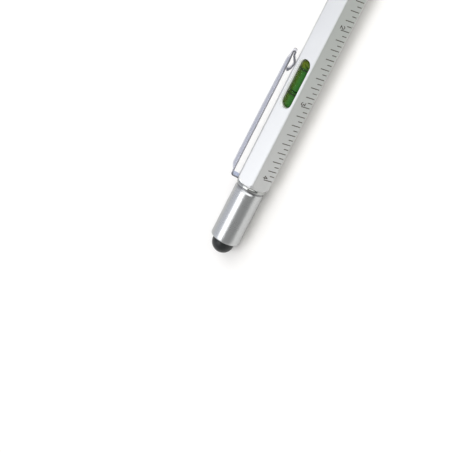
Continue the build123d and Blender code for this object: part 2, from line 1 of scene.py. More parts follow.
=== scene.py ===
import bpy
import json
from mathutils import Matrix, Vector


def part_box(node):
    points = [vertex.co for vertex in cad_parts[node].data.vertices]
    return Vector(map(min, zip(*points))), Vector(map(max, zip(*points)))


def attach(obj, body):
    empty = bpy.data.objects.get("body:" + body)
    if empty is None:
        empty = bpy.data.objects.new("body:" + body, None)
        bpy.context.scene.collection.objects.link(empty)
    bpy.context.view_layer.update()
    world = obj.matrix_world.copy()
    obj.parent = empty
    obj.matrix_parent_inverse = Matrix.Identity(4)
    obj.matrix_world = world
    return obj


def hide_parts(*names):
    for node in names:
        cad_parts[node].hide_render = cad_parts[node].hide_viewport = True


bl_info = {
    "name": "Multifunction Pen",
    "version": (1, 0, 0),
    "blender": (4, 5, 0),
    "location": "View3D > Sidebar > Pen",
    "description": "Adds the finishes and the fine shapes of a multifunction pen to its CAD model",
    "category": "Object",
}

import json
import math

import bmesh
import bpy
import numpy as np
from bpy.props import FloatProperty, FloatVectorProperty, IntProperty, PointerProperty
from mathutils import Matrix, Vector

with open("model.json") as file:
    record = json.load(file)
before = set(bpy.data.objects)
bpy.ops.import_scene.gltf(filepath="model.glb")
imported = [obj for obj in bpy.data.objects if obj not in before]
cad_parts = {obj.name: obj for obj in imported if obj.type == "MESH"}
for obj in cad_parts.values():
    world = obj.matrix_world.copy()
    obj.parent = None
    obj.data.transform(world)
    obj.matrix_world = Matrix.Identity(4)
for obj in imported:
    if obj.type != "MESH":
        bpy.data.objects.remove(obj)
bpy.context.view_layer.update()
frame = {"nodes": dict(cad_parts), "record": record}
NODES = frame["nodes"]
MM = 0.001

# The pen lies along X. Its axis is over the middle of its rest flat.
AXIS_HEIGHT = (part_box("stylus_cap")[0].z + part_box("stylus_cap")[1].z) / 2
FULL_TURN = 2 * math.pi

# The distance of the barrel's six flats from the axis
FLAT_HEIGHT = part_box("barrel")[1].z - AXIS_HEIGHT

# From the top flat, the clip's flat leans towards +Y and the ruler flat leans as far towards -Y
CLIP_LEAN = math.radians(60)
RULER_LEAN = math.radians(60)

# Slopes of the clip's tongue: from its neck down to its bow, from the bow to its heel, and from the heel
# up to its free end
TONGUE_SLANT = math.radians(29)
TONGUE_RISE = math.radians(12)
TONGUE_SLOPE = math.radians(50)

# Shares of the strip's half width over which its crown and its hollow are pressed, and the share of the
# hollow's depth that is left where the strip turns up
CROWN_WIDTH_SHARE = 0.96
HOLLOW_WIDTH_SHARE = 0.8
FLARE_HOLLOW_SHARE = 0.9

# Share of a thread's half pitch that is flat, at its crest and at its root
THREAD_FLAT_SHARE = 0.1

# Points of a surface that lie nearer to each other than this are made one
MERGE_DISTANCE = 0.0002 * MM

# The photograph's camera: its place, the directions that it looks in and holds up, its lens, and the
# nearest and the farthest that it sees
CAMERA_PLACE = (86.279 * MM, -194.284 * MM, 372.329 * MM)
CAMERA_FORWARD = (-0.35416, 0.44006, -0.82518)
CAMERA_UP = (0.83293, 0.54961, -0.06439)
CAMERA_LENS = 115.487
SENSOR_WIDTH = 36.0
NEAREST_VIEW = 0.01
FARTHEST_VIEW = 20.0

# The two soft lamps: the direction in which each one lies, its distance and its sides
OVERHEAD_AIM = (-0.32, 0.097, 0.945)
OVERHEAD_DISTANCE = 0.7
OVERHEAD_SIDES = (0.41, 0.45)
FILL_AIM = (0.62, -0.2, 0.76)
FILL_DISTANCE = 0.9
FILL_SIDES = (1.8, 0.9)

# From the middle of the floor to its sides
FLOOR_REACH = 4.0

# Where the surroundings change, in parts of the direction that is looked in: the sky across the pen, the
# horizon along it, across it and up, and the level of all of it along the pen
SKY_ACROSS = (-0.25, 0.35)
HORIZON_ALONG = (-0.12, -0.42)
HORIZON_ACROSS = (-0.1, 0.3)
HORIZON_UP = (0.32, 0.08)
LEVEL_ALONG = (0.05, -0.6)
LOWEST_LEVEL = 0.7
LEVEL_RISE = 0.45

# Tints of the floor, of the sky on the clip's side and of the dark part of the horizon, as shares of
# their plain radiance
FLOOR_SHARES = (1.0, 0.985, 0.955)
SIDE_SHARES = (0.96, 0.98, 1.06)
DARK_HORIZON_SHARES = (0.2, 0.24, 0.2)

# Painted shade of the ruler flat and painted bluish reflection on the clip's foot, then the levels of
# painted shade on the clip's curl and on its cut sides, as shares of the skin's own colour
RULER_PAINTED_SHADE_SHARES = (0.83, 0.86, 0.83)
FOOT_PAINTED_REFLECTION_SHARES = (0.7, 0.79, 0.98)
CURL_PAINTED_SHADE_SHARE = 0.45
CUT_PAINTED_SHADE_SHARE = 0.55

# Lean along the pen of the painted lower half of the ring away from the cap, as a share of the way across
FAR_LINE_LEAN = 0.5


def length(name, description, millimetres):
    """A size that a user may change, in Blender's length unit."""
    return FloatProperty(name=name, description=description, default=millimetres * MM, min=0.0,
                         precision=5, unit="LENGTH", subtype="DISTANCE")


def span(name, description, start, full):
    """Two distances, in millimetres, between which a finish changes: where its change starts and where
    it is full."""
    return FloatVectorProperty(name=name, description=description, default=(start * MM, full * MM),
                               size=2, precision=5, unit="LENGTH")


def tint(name, description, default):
    """A colour that a user may change."""
    return FloatVectorProperty(name=name, description=description, default=default,
                               size=3, min=0.0, max=1.0, subtype="COLOR")


def strength(name, description, default):
    """A level of light: the radiance of a lamp or of a part of the surroundings, or the floor's share."""
    return FloatProperty(name=name, description=description, default=default, min=0.0, unit="NONE")


class PenSizes(bpy.types.PropertyGroup):
    """Sizes of the fine shapes. The rest comes from the CAD nodes' boxes."""
    cap_wall: length("Cap wall", "Wall of the stylus cap", 0.6)
    cap_rim: length("Cap rim", "Rounding of the cap's rim at the rubber dome", 0.4)
    cap_chamfer: length("Cap chamfer", "Length of the chamfer at the cap's mouth", 0.6)
    cap_step: length("Cap step", "Depth of the chamfer at the cap's mouth", 0.24)
    cap_end_wall: length("Cap end wall", "Wall of the cap round the rubber dome", 0.8)
    dome_gap: length("Dome gap", "Between the rubber dome and the cap round it", 0.02)
    edge: length("Edge", "Rounding of turned edges", 0.12)
    dome_radius: length("Dome radius", "Radius of the rubber dome", 3.5)
    dome_wall: length("Dome wall", "Wall of the rubber dome", 0.8)
    dome_flange: length("Dome flange", "Thickness of the flange that keeps the dome in the cap", 0.8)
    bead: length("Bead", "Rounding of the two bright rings", 0.5)
    thread_pitch: length("Thread pitch", "Pitch of the cap's thread", 0.8)
    thread_depth: length("Thread depth", "Depth of the cap's thread", 0.25)
    thread_gap: length("Thread gap", "Between the neck and the cap's thread", 0.1)
    neck_radius: length("Neck radius", "Outside radius of the threaded neck", 3.4)
    neck_length: length("Neck length", "From the barrel's end to the end of the neck", 6.3)
    collar_gap: length("Collar gap", "Between the neck and the ring round it", 0.05)
    notch_depth: length("Notch depth", "From the barrel's end in to the plug of the insert", 0.65)
    socket_flats: length("Socket flats", "Across the flats of the bit's socket", 4.1)
    socket_end_wall: length("Socket end wall", "Behind the magnet", 1.2)
    magnet_gap: length("Magnet gap", "Between the magnet and its pocket", 0.05)
    groove_width: length("Groove width", "Width of each groove round the nose", 0.4)
    groove_depth: length("Groove depth", "Depth of each groove round the nose", 0.2)
    groove_pitch: length("Groove pitch", "From one groove of the nose to the next", 1.0)
    nose_band: length("Nose band", "Length of the nose before its taper", 4.2)
    nose_tip: length("Nose tip", "Radius of the nose at its end", 1.95)
    nose_bore: length("Nose bore", "Radius of the bore of the nose", 1.35)
    nose_spigot: length("Nose spigot", "Radius of the spigot in its bush", 2.925)
    nose_gap: length("Nose gap", "Between the nose and the ring behind it", 0.3)
    spigot_gap: length("Spigot gap", "Between the spigot and the ring round it", 0.1)
    drive_wall: length("Drive wall", "Wall of the drive tube over its seat on the spigot", 0.6)
    clip_thickness: length("Clip thickness", "Thickness of the clip's strip", 0.5)
    clip_width: length("Clip width", "Width of the clip's strip", 3.6)
    clip_height: length("Clip height", "Outer face of the strip over the flat, at the bend", 2.4)
    clip_fall: length("Clip fall", "How much nearer the flat the strip is where it turns up", 0.17)
    clip_flare: length("Clip flare", "From where the strip turns up to its tip", 3.35)
    clip_crown: length("Clip crown", "Height of the pressed crown over the strip", 1.02)
    clip_flare_crown: length("Flare crown", "The crown's height where the strip turns up", 0.85)
    clip_crown_start: length("Crown start", "From the foot's outside to the start of the crown", 1.2)
    clip_crown_run: length("Crown run", "Length over which the crown rises", 2.2)
    clip_crown_level: length("Crown level", "Length over which the crown keeps its height", 19.0)
    clip_crown_end: length("Crown end", "From the end of the crown to the tip", 0.35)
    clip_crown_soft: length("Crown softness", "Rounding of the crown's outline along the strip", 0.35)
    clip_hollow: length("Clip hollow", "Depth of the hollow pressed into the strip's underside", 0.75)
    clip_edge: length("Clip edge", "Rounding of the strip's edges", 0.06)
    clip_bend: length("Clip bend", "Radius of the bend at the foot", 0.7)
    clip_flare_radius: length("Flare radius", "Radius of the strip where it turns up", 10.0)
    clip_curl: length("Clip curl", "Radius of the curled tip", 0.41)
    clip_curl_top: length("Curl top", "Middle of the curl's upper layer over the flat", 2.13)
    clip_curl_foot: length("Curl foot", "Middle of the curl's lower layer over the flat", 1.29)
    clip_neck: length("Clip neck", "Middle of the tongue's neck, behind the curl, over the flat", 1.5)
    clip_neck_radius: length("Clip neck radius", "Radius of the tongue at its neck", 0.9)
    tongue_gap: length("Tongue gap", "From the tongue to the barrel", 0.05)
    tongue_contact: length("Tongue contact", "From the tip back to the lowest point of the tongue", 3.85)
    tongue_length: length("Tongue length", "From the lowest point of the tongue to its free end", 2.65)
    tongue_end: length("Tongue end", "Middle of the tongue's free end over the flat", 1.47)
    tongue_bow: length("Tongue bow", "Radius of the tongue's bow", 1.2)
    tongue_heel: length("Tongue heel", "Radius of the tongue between its bow and its free end", 2.6)
    tab_width: length("Tab width", "Width of the tab that the insert clamps", 5.2)
    tab_gap: length("Tab gap", "Between the neck and the tab's edge round it", 0.1)
    tab_reach: length("Tab reach", "How far the tab reaches out past the insert", 0.375)
    vial_wall: length("Vial wall", "Wall of the level's capsule", 0.4)
    bubble_radius: length("Bubble radius", "Radius of the bubble", 1.0)
    bubble_length: length("Bubble length", "Length of the bubble", 3.4)
    bubble_gap: length("Bubble gap", "Between the bubble and the capsule's inside", 0.05)
    bubble_reach: length("Bubble reach", "How far the bubble reaches into the capsule's round end", 0.1)
    line_width: length("Line width", "Width of the level's rings", 0.4)
    line_proud: length("Line proud", "How far the level's rings stand out of the capsule", 0.02)
    line_sunk: length("Line sunk", "How far the level's rings reach into the capsule's skin", 0.06)
    groove_count: IntProperty(name="Grooves", description="Grooves round the nose", default=3, min=0)


class PenMarks(bpy.types.PropertyGroup):
    """Places where a finish changes. Each is counted from the place that its description names."""
    wall_side: span("Wall side", "Paint of the window's wall, from the capsule's side out", 0.25, 0.15)
    wall_top: span("Wall top", "Paint of the window's wall, from the top flat", -0.02, -0.05)
    wall_foot: span("Wall foot", "Paint of the window's wall, from the axis up", 0.0, 1.0)
    # Painted olive shade on the wall beside the liquid
    wall_painted_olive_shade: span("Wall deep", "Wall beside the liquid, from the top flat", -0.9, -1.7)
    # Painted glow on the window's wall
    wall_painted_glow: span("Wall glow", "Glow of the wall, from the window's middle line", 0.2, 1.2)
    barrel_edges: span("Barrel edges", "Matt edges, from the flats' distance out", 0.525, 0.625)
    # Painted shade on the ruler flat
    ruler_painted_shade_side: span("Ruler side", "Darker ruler flat, from the flat itself", -0.12, -0.04)
    ruler_painted_shade_run: span("Ruler run", "Darker ruler flat, from the barrel's middle", -65.0, 5.0)
    # Painted bluish reflection on the clip's foot, then painted shade on its cut sides and curl
    clip_foot_painted_reflection: span("Clip foot", "Bluer foot, from the clip's end at the foot", 1.0, 0.7)
    clip_cut_painted_shade: span("Clip cut", "Cut side of the strip, from its middle line", -1.68, -1.76)
    clip_tongue_painted_shade: span("Clip tongue", "Darker cut side of the tongue, from the tip", -8.0, -6.0)
    curl_painted_shade_half: span("Curl half", "Darker half of the curl, from the strip's middle line", 0.1, 0.8)
    curl_painted_shade_end: span("Curl end", "Darker half of the curl, from the tip", -0.6, -0.3)
    seal_start: span("Seal start", "Glazed skin, from the start of the seal", -1.0, -0.5)
    # Painted light and shade on the liquid
    liquid_lit: span("Liquid lit", "Lit side of the liquid, from the window's middle line", 0.9, -0.9)
    liquid_end_painted_light: span("Liquid end", "Yellower end of the liquid, from the capsule's end", -3.0, -2.2)
    # Painted images of the rings' lower halves in the liquid
    near_line: length("Near line", "From the ring at the cap's end to its lower half", 1.1)
    near_line_blur: span("Near line blur", "That lower half, from its middle line", 0.42, 0.1)
    far_line: length("Far line", "From the other ring's far side to its lower half", 1.2)
    far_line_blur: span("Far line blur", "That lower half, from its middle line", 0.4, 0.1)
    far_line_side: span("Far line side", "That lower half, from the window's middle line", 0.7, -0.3)


class PenColours(bpy.types.PropertyGroup):
    """Colours of the finishes"""
    aluminium: tint("Aluminium", "Satin skin of the barrel", (0.665, 0.67, 0.665))
    wall: tint("Window wall", "Paint of the window's wall", (0.88, 0.89, 0.9))
    # Painted olive shade, tinted by the liquid beside it
    wall_painted_olive_shade: tint("Window depth", "The same paint beside the liquid", (0.22, 0.27, 0.09))
    # Painted glow: emission that stands in for light on the wall
    wall_painted_glow: tint("Window glow", "Light of the capsule on the wall", (0.42, 0.43, 0.42))
    cap: tint("Cap", "Polished skin of the cap and the nose", (0.53, 0.54, 0.54))
    chrome: tint("Chrome", "Plating of the rings", (0.42, 0.43, 0.42))
    clip: tint("Clip", "Steel of the clip", (0.6, 0.61, 0.67))
    brass: tint("Brass", "Insert, bushes and point of the refill", (0.76, 0.58, 0.28))
    tool_steel: tint("Tool steel", "Driver bit, pin, snap ring, ink tube and ball", (0.27, 0.275, 0.285))
    nickel: tint("Nickel", "Plating of the magnet", (0.6, 0.58, 0.54))
    rubber: tint("Rubber", "Rubber of the dome and the seal", (0.014, 0.016, 0.016))
    seal: tint("Seal", "Glazed skin of the cap's seal", (0.28, 0.28, 0.29))
    ink: tint("Ink", "Printed lines and numbers", (0.09, 0.082, 0.07))
    level_ink: tint("Level ink", "Rings of the level", (0.02, 0.032, 0.014))
    # Painted image of the rings' lower halves and their shadows, seen through the liquid
    painted_lower_line_images: tint("Lower lines", "The rings' lower halves behind the liquid", (0.008, 0.02, 0.01))
    clear: tint("Clear", "Acrylic of the level's capsule", (0.97, 1.0, 0.96))
    # Painted light and shade: lit and shaded copies of the liquid's green, and a lighter yellow end
    liquid: tint("Liquid", "Liquid of the level on its lit side", (0.045, 0.17, 0.035))
    liquid_shade: tint("Liquid shade", "Liquid of the level on its shaded side", (0.055, 0.1, 0.012))
    liquid_end_painted_light: tint("Liquid end", "Liquid of the level in the end with the bubble", (0.12, 0.16, 0.018))
    white_plastic: tint("White plastic", "Bed of the level", (0.8, 0.82, 0.7))
    grey_plastic: tint("Grey plastic", "Tubes and slider of the twist mechanism", (0.25, 0.26, 0.28))
    black_plastic: tint("Black plastic", "Core of the stylus", (0.03, 0.03, 0.03))
    writing_ink: tint("Writing ink", "Ink in the refill", (0.02, 0.04, 0.35))


class PenLight(bpy.types.PropertyGroup):
    """Plain level of the lamps and the surroundings"""
    key: strength("Key", "Radiance of the soft lamp overhead", 2.12)
    fill: strength("Fill", "Radiance of the soft lamp beyond the writing end", 1.7)
    side: strength("Side", "Radiance of the surroundings on the clip's side", 0.86)
    sky: strength("Sky", "Radiance of the surroundings above, on the ruler's side", 0.4)
    horizon: strength("Horizon", "Radiance of the surroundings near the floor", 0.64)
    floor: strength("Floor", "Share of the light that the floor gives back", 0.96)


class Wire:
    """One socket of a shader's node tree. Python maths on it adds the Math nodes."""

    def __init__(self, tree, socket=None):
        self.tree = tree
        self.socket = socket

    def node(self, kind, sockets=None, output=0, **settings):
        """Adds a node of any kind: its settings first, then its sockets' values or links."""
        made = self.tree.nodes.new("ShaderNode" + kind)
        for name, value in settings.items():
            setattr(made, name, value)
        for name, value in (sockets or {}).items():
            if isinstance(value, Wire):
                self.tree.links.new(value.socket, made.inputs[name])
            else:
                made.inputs[name].default_value = value
        return Wire(self.tree, made.outputs[output] if made.outputs else None)

    def math(self, operation, *values):
        """A Math node on the given wires and numbers."""
        return self.node("Math", dict(enumerate(values)), operation=operation)

    def __add__(self, other):
        return self.math("ADD", self, other)

    def __sub__(self, other):
        return self.math("SUBTRACT", self, other)

    def __rsub__(self, other):
        return self.math("SUBTRACT", other, self)

    def __mul__(self, other):
        return self.math("MULTIPLY", self, other)

    def __pow__(self, other):
        return self.math("POWER", self, other)

    __radd__ = __add__
    __rmul__ = __mul__

    def smooth(self, first, last):
        """0 up to the first value and 1 past the last one, which may be the lower, with a soft step
        between."""
        values = {"Value": self, "From Min": first, "From Max": last}
        return self.node("MapRange", values, interpolation_type="SMOOTHSTEP")

    def change(self, place, marks):
        """0 up to the first mark and 1 past the second, both counted from a place."""
        return self.smooth(place + marks[0], place + marks[1])

    def mix(self, first, second):
        """A colour between two, with this socket as the factor."""
        return self.node("Mix", {0: self, 6: first, 7: second}, output=2, data_type="RGBA")

    def place(self):
        """The object's own coordinates."""
        return self.node("TexCoord", output="Object")

    def across(self, axis):
        """One of the object's own coordinates, X, Y or Z."""
        return self.node("SeparateXYZ", {"Vector": self.place()}, output=axis)

    def noise(self, scale, detail=2.0, stretch=None):
        """Noise on the object's coordinates, with the scale in features to a metre."""
        place = self.place()
        if stretch:
            place = self.node("Mapping", {"Vector": place, "Scale": stretch})
        return self.node("TexNoise", {"Vector": place, "Scale": scale, "Detail": detail})

    def bump(self, height, distance, strength):
        """A normal that follows a height, with the real size of its relief."""
        return self.node("Bump", {"Height": height, "Distance": distance, "Strength": strength})

    def from_axis(self):
        """Distance of a surface point from the pen's axis."""
        side = self.across("Y")
        depth = self.across("Z") - AXIS_HEIGHT
        return (side * side + depth * depth) ** 0.5


def shade(colour, factor=1.0):
    """A colour socket's value: the colour times one factor, or times a factor for each channel."""
    factors = factor if isinstance(factor, tuple) else (factor, factor, factor)
    return (*[min(channel * share, 1.0) for channel, share in zip(colour, factors)], 1.0)


def grey(level):
    """A colour socket's value without a tint."""
    return shade((level, level, level))


def material(name, build):
    """A material whose build function gets an empty wire and returns the Principled sockets to set."""
    made = bpy.data.materials.new(name)
    made.use_nodes = True
    tree = made.node_tree
    tree.nodes.clear()
    root = Wire(tree)
    surface = root.node("BsdfPrincipled", build(root))
    root.node("OutputMaterial", {"Surface": surface})
    return made


def satin_metal(colours, marks, roughness):
    """Fine blasted and anodised skin: a dense small grain and faint handling marks. The ruler flat has
    painted shade, which leaves it a little darker, most towards the writing end. The wall of the
    level's window, round the capsule and under the top flat, is milled and painted pale. Beside the
    liquid it has painted olive shade, and above that a painted glow, an emission that stands in for
    the light that the clear capsule gathers. The six edges are more matt than the flats."""
    low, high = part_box("level_vial")
    half_width = (high.y - low.y) / 2
    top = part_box("barrel")[1].z

    def build(root):
        grain = root.noise(9000.0, 3.0)
        smudge = root.noise(90.0, 4.0, (1.0, 2.5, 2.5))
        aside, up = root.across("Y"), root.across("Z")
        wall = root.math("ABSOLUTE", aside).change(half_width, marks.wall_side)
        wall = wall * up.change(top, marks.wall_top) * up.change(AXIS_HEIGHT, marks.wall_foot)
        # Painted shade: the wall beside the liquid, below the top flat, is dark olive
        deep = up.change(top, marks.wall_painted_olive_shade)
        # Painted glow: an emission on the upper wall at the clip's side stands in for light
        glow = wall * aside.change(0, marks.wall_painted_glow) * (1.0 - deep)
        paint = deep.mix(shade(colours.wall), shade(colours.wall_painted_olive_shade))
        edge = root.from_axis().change(FLAT_HEIGHT, marks.barrel_edges)
        # Painted shade: the ruler flat is darker, most towards the writing end
        out = (up - AXIS_HEIGHT) * math.cos(RULER_LEAN) - aside * math.sin(RULER_LEAN)
        ruler = out.change(FLAT_HEIGHT, marks.ruler_painted_shade_side) * root.across("X").change(0, marks.ruler_painted_shade_run)
        skin = smudge.mix(shade(colours.aluminium, 0.97), shade(colours.aluminium, 1.02))
        skin = ruler.mix(skin, shade(colours.aluminium, RULER_PAINTED_SHADE_SHARES))
        return {
            "Base Color": wall.mix(skin, paint),
            "Metallic": 1.0 - wall,
            "Roughness": roughness + 0.08 * smudge + 0.03 * grain + 0.2 * wall + 0.25 * edge,
            "Emission Color": glow.mix(grey(0.0), shade(colours.wall_painted_glow)),
            "Emission Strength": 1.0,
            "Normal": root.bump(grain, 0.004 * MM, 0.5),
        }
    return build


def turned_metal(colour, roughness):
    """Lathe-turned skin: rings along the pen's axis with small differences between them."""
    def build(root):
        rings = root.noise(1.0, 4.0, (7000.0, 12.0, 12.0))
        smudge = root.noise(160.0, 3.0)
        return {
            "Base Color": rings.mix(shade(colour, 0.96), shade(colour, 1.02)),
            "Metallic": 1.0,
            "Roughness": roughness + 0.06 * smudge + 0.04 * rings,
            "Specular Tint": grey(0.7),
            "Normal": root.bump(rings, 0.002 * MM, 0.6),
        }
    return build


def mirror_metal(colour, roughness):
    """Plated and polished skin with faint wiping marks."""
    def build(root):
        wiped = root.noise(220.0, 4.0, (1.0, 4.0, 4.0))
        return {
            "Base Color": wiped.mix(shade(colour, 0.98), shade(colour, 1.02)),
            "Metallic": 1.0,
            "Roughness": roughness + 0.06 * wiped,
            "Normal": root.bump(wiped, 0.002 * MM, 0.3),
        }
    return build


def spring_steel(colour, marks, roughness):
    """The clip's polished steel. Its colour has a painted bluish reflection at the foot, and painted
    shade on the cut sides of the foot and the tongue and on the far half of the curl."""
    polished = mirror_metal(colour, roughness)
    foot_end, tip = ends("clip")

    def build(root):
        sockets = polished(root)
        along = root.across("X")
        up = root.across("Z") - AXIS_HEIGHT
        across = root.across("Y") * math.cos(CLIP_LEAN) - up * math.sin(CLIP_LEAN)
        # Painted bluish reflection on the foot
        foot = along.change(foot_end, marks.clip_foot_painted_reflection)
        # Painted shade on the cut sides of the foot and the tongue
        cut = across.change(0, marks.clip_cut_painted_shade) * (foot + along.change(tip, marks.clip_tongue_painted_shade))
        # Painted shade on the far half of the curl
        curl = across.change(0, marks.curl_painted_shade_half) * along.change(tip, marks.curl_painted_shade_end)
        skin = foot.mix(sockets["Base Color"], shade(colour, FOOT_PAINTED_REFLECTION_SHARES))
        skin = curl.mix(skin, shade(colour, CURL_PAINTED_SHADE_SHARE))
        return {**sockets, "Base Color": cut.mix(skin, shade(colour, CUT_PAINTED_SHADE_SHARE))}
    return build


def printed_ink(colour, gloss):
    """Pad-printed ink: matt, with a thin and slightly uneven film."""
    def build(root):
        film = root.noise(3500.0, 3.0)
        return {
            "Base Color": film.mix(shade(colour, 0.75), shade(colour, 1.3)),
            "Roughness": 0.5 + 0.2 * film,
            "Specular IOR Level": gloss,
            "Normal": root.bump(film, 0.004 * MM, 0.5),
        }
    return build


def moulded_plastic(colour, roughness):
    """Moulded plastic with a fine spark-eroded grain."""
    def build(root):
        grain = root.noise(6000.0, 3.0)
        return {
            "Base Color": grain.mix(shade(colour, 0.93), shade(colour, 1.03)),
            "Roughness": roughness + 0.1 * grain,
            "Normal": root.bump(grain, 0.005 * MM, 0.5),
        }
    return build


def soft_rubber(colours, marks):
    """Conductive rubber: the dome is matt and dusty where it is touched, and the seal is glazed with a
    hard metallic skin, which mirrors its surroundings."""
    def build(root):
        grain = root.noise(5000.0, 4.0)
        dust = root.noise(500.0, 5.0).smooth(0.45, 0.8)
        hard = root.across("X").change(ends("cap_seal")[0], marks.seal_start)
        touched = dust.mix(shade(colours.rubber), shade(colours.rubber, 1.7))
        return {
            "Base Color": hard.mix(touched, shade(colours.seal)),
            "Metallic": hard,
            "Roughness": 0.3 + 0.14 * grain + 0.1 * dust,
            "Specular IOR Level": 0.35,
            "Normal": root.bump(grain, 0.008 * MM, 0.6),
        }
    return build


def clear_acrylic(colour):
    """Clear moulded plastic with a faint haze, which mirrors little."""
    def build(root):
        haze = root.noise(900.0, 3.0)
        return {
            "Base Color": shade(colour),
            "Roughness": 0.12 + 0.06 * haze,
            "IOR": 1.3,
            "Specular Tint": grey(0.12),
            "Transmission Weight": 1.0,
        }
    return build


def dyed_liquid(colours, marks, ior):
    """Dyed liquid. Its colour has painted shade, deeper and more olive towards the clip, as the capsule's
    own shadow would leave it, and painted light, yellower in the round end where the bubble floats.
    Each ring's lower half is painted as a dark band beside the upper half, as the ring would show
    through the liquid."""
    first, last = ends("level_lines")

    def build(root):
        along, aside = root.across("X"), root.across("Y")
        # Painted light and shade: a lit and a shaded copy of the green across the liquid
        lit = aside.change(0, marks.liquid_lit)
        cloud = root.noise(500.0, 2.0)
        # Painted light: lighter and yellower in the round end where the bubble floats
        end = along.change(ends("level_vial")[1], marks.liquid_end_painted_light)
        body = (lit * (0.85 + 0.3 * cloud)).mix(shade(colours.liquid_shade), shade(colours.liquid))
        body = (end * (1.1 - 0.4 * lit)).mix(body, shade(colours.liquid_end_painted_light))

        # Painted bands of the rings' lower halves: the one nearer the cap lies square to the pen, the
        # other is slanted and fades towards the clip
        near = root.math("ABSOLUTE", along - (first + marks.near_line)).change(0, marks.near_line_blur)
        far = root.math("ABSOLUTE", along - (last + marks.far_line) - aside * FAR_LINE_LEAN)
        far = far.change(0, marks.far_line_blur) * aside.change(0, marks.far_line_side)
        return {
            "Base Color": (near * 0.75 + far * 0.6).mix(body, shade(colours.painted_lower_line_images)),
            "Roughness": 0.01,
            "IOR": ior,
            "Specular Tint": grey(0.15),
            "Transmission Weight": 0.4,
        }
    return build


def finishes(colours, marks):
    """The build function of each material slot."""
    return {
        "satin_aluminium": satin_metal(colours, marks, 0.3),
        "polished_metal": turned_metal(colours.cap, 0.23),
        "bright_chrome": mirror_metal(colours.chrome, 0.06),
        "clip_steel": spring_steel(colours.clip, marks, 0.24),
        "scale_ink": printed_ink(colours.ink, 0.5),
        "clear_acrylic": clear_acrylic(colours.clear),
        "level_green": dyed_liquid(colours, marks, 1.01),
        "level_black": printed_ink(colours.level_ink, 0.1),
        "white_plastic": moulded_plastic(colours.white_plastic, 0.35),
        "grey_plastic": moulded_plastic(colours.grey_plastic, 0.4),
        "black_plastic": moulded_plastic(colours.black_plastic, 0.4),
        "black_rubber": soft_rubber(colours, marks),
        "turned_brass": turned_metal(colours.brass, 0.24),
        "tool_steel": turned_metal(colours.tool_steel, 0.3),
        "magnet_nickel": mirror_metal(colours.nickel, 0.16),
        "blue_ink": moulded_plastic(colours.writing_ink, 0.2),
    }


def slot_of(node):
    """The record's material slot of a CAD node, or of a finish that it already has."""
    return NODES[node].data.materials[0].name.split(".")[0].removesuffix("_finish")


def body_of(node):
    """The moving body that a CAD node belongs to."""
    bodies = frame["record"]["behaviour"]["bodies"]
    return next(body for body, members in bodies.items() if node in members)


def ends(node):
    """The first and last station of a CAD node along the pen."""
    low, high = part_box(node)
    return low.x, high.x


def outside(node):
    """Radius of a turned CAD node about the pen's axis."""
    low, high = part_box(node)
    return (high.z - low.z) / 2


def rounded(corners, steps=7, between=5, closed=True):
    """Outline through (station, radius, corner radius) rows. The arc at a corner touches both of its
    sides: its middle lies on the corner's bisector, at the corner radius over the sine of half the
    angle, and its points turn evenly from one touching point to the other. The run from an arc to
    the next has points close to both of its ends, which keep it straight under smooth shading."""
    corners = np.array(corners, float)
    place, size = corners[:, :2], corners[:, 2:]
    back = np.roll(place, 1, axis=0) - place
    ahead = np.roll(place, -1, axis=0) - place
    back /= np.linalg.norm(back, axis=1, keepdims=True)
    ahead /= np.linalg.norm(ahead, axis=1, keepdims=True)
    half = np.arccos(np.clip((back * ahead).sum(axis=1, keepdims=True), -1, 1)) / 2
    bisector = (back + ahead) / np.linalg.norm(back + ahead, axis=1, keepdims=True)
    middle = place + bisector * size / np.sin(half)
    first = place + back * size / np.tan(half)
    last = place + ahead * size / np.tan(half)
    sweep = math.pi - 2 * half
    share = np.linspace(0, 1, steps)[:, None, None]
    arcs = middle + ((first - middle) * np.sin((1 - share) * sweep)
                     + (last - middle) * np.sin(share * sweep)) / np.sin(sweep)
    near = 0.5 - 0.5 * np.cos(np.linspace(0, math.pi, between + 2)[1:-1])
    runs = last + (np.roll(first, -1, axis=0) - last) * near[:, None, None]
    points = np.concatenate([arcs, runs]).transpose(1, 0, 2).reshape(-1, 2)
    return points if closed else points[steps - 1:-between - steps + 1]


def arc(station, radius, size, start, end, steps=24):
    """Points of a circle in the outline's plane: the angle is measured from +X towards greater radius."""
    angle = np.radians(np.linspace(start, end, steps))
    return np.stack([station + size * np.cos(angle), radius + size * np.sin(angle)], axis=-1)


def turned(outline, columns=160, height=None, radii=None):
    """A shape turned about the pen's axis, or about one at another height: x is the outline's station,
    and y and z are the radius times the sine and the cosine of an angle that runs once round. Radii
    that change with the angle are given as rows and columns."""
    angle = np.linspace(0, FULL_TURN, columns, endpoint=False)
    radius = outline[:, 1:2] if radii is None else radii
    x = outline[:, 0:1] + 0 * angle
    up = AXIS_HEIGHT if height is None else height
    return np.stack([x, radius * np.sin(angle), up + radius * np.cos(angle)], axis=-1)


def capsule(middle, radius, size):
    """Outline of a rod with round ends, from pole to pole: two quarter circles of its radius, whose
    middles lie half its length less a radius from its middle."""
    half = size / 2 - radius
    far_end = arc(middle + half, 0, radius, 0, 90, 60)
    near_end = arc(middle - half, 0, radius, 90, 180, 60)
    return np.concatenate([far_end, near_end])


def ended(points):
    """The same grid with the middle point of its first and last row added, which closes both ends."""
    first = points[:1].mean(axis=1, keepdims=True) + 0 * points[:1]
    last = points[-1:].mean(axis=1, keepdims=True) + 0 * points[-1:]
    return np.concatenate([first, points, last])


